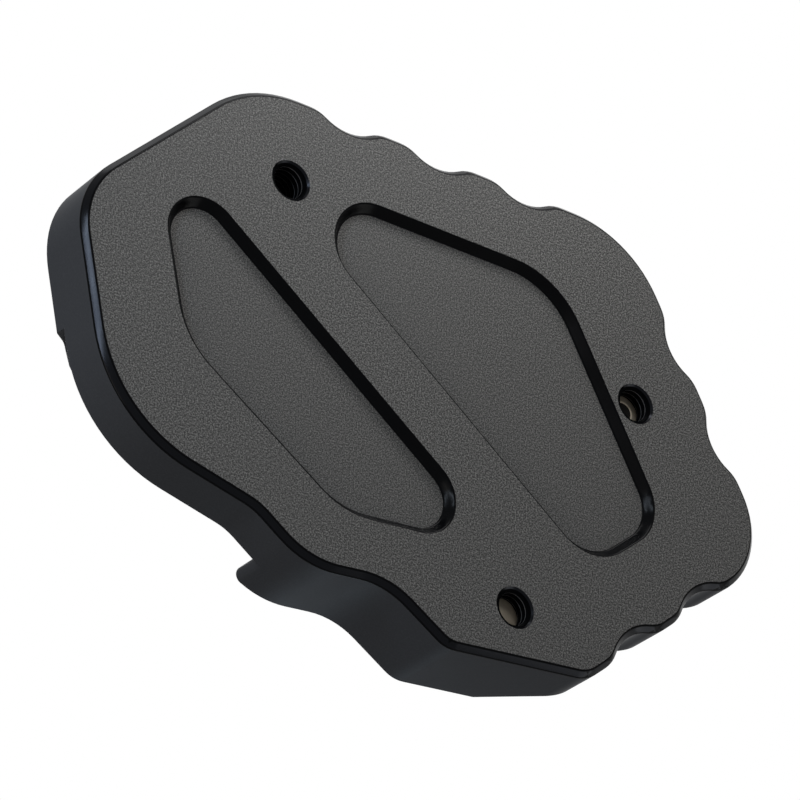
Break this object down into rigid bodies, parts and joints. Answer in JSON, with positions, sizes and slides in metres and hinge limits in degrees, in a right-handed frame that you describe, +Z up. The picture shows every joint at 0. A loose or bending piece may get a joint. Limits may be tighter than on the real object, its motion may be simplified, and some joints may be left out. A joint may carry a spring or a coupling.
{
  "type": "side stand foot enlarger",
  "caption": "Machined aluminium foot plate with a scalloped edge, clamped around a motorbike side stand's own foot to spread its load on soft ground.",
  "frame": {"origin": "centre of the outline's box, on the contact face that stands on the ground", "axes": "+Z up, away from the ground; +X from the open heel side towards the nose; +Y towards the toe wall"},
  "size_m": [0.1186, 0.0816, 0.0206],
  "materials": {
    "black_anodised": "fine blasted and black anodised, matt with a fine grain",
    "black_coated_steel": "satin black coating",
    "stainless": "turned stainless steel"
  },
  "bodies": {
    "root": {"base_plate": "black_anodised", "clamp_plate": "black_coated_steel", "clamp_screws": "stainless", "short_clamp_screw": "stainless"}
  },
  "joints": []
}
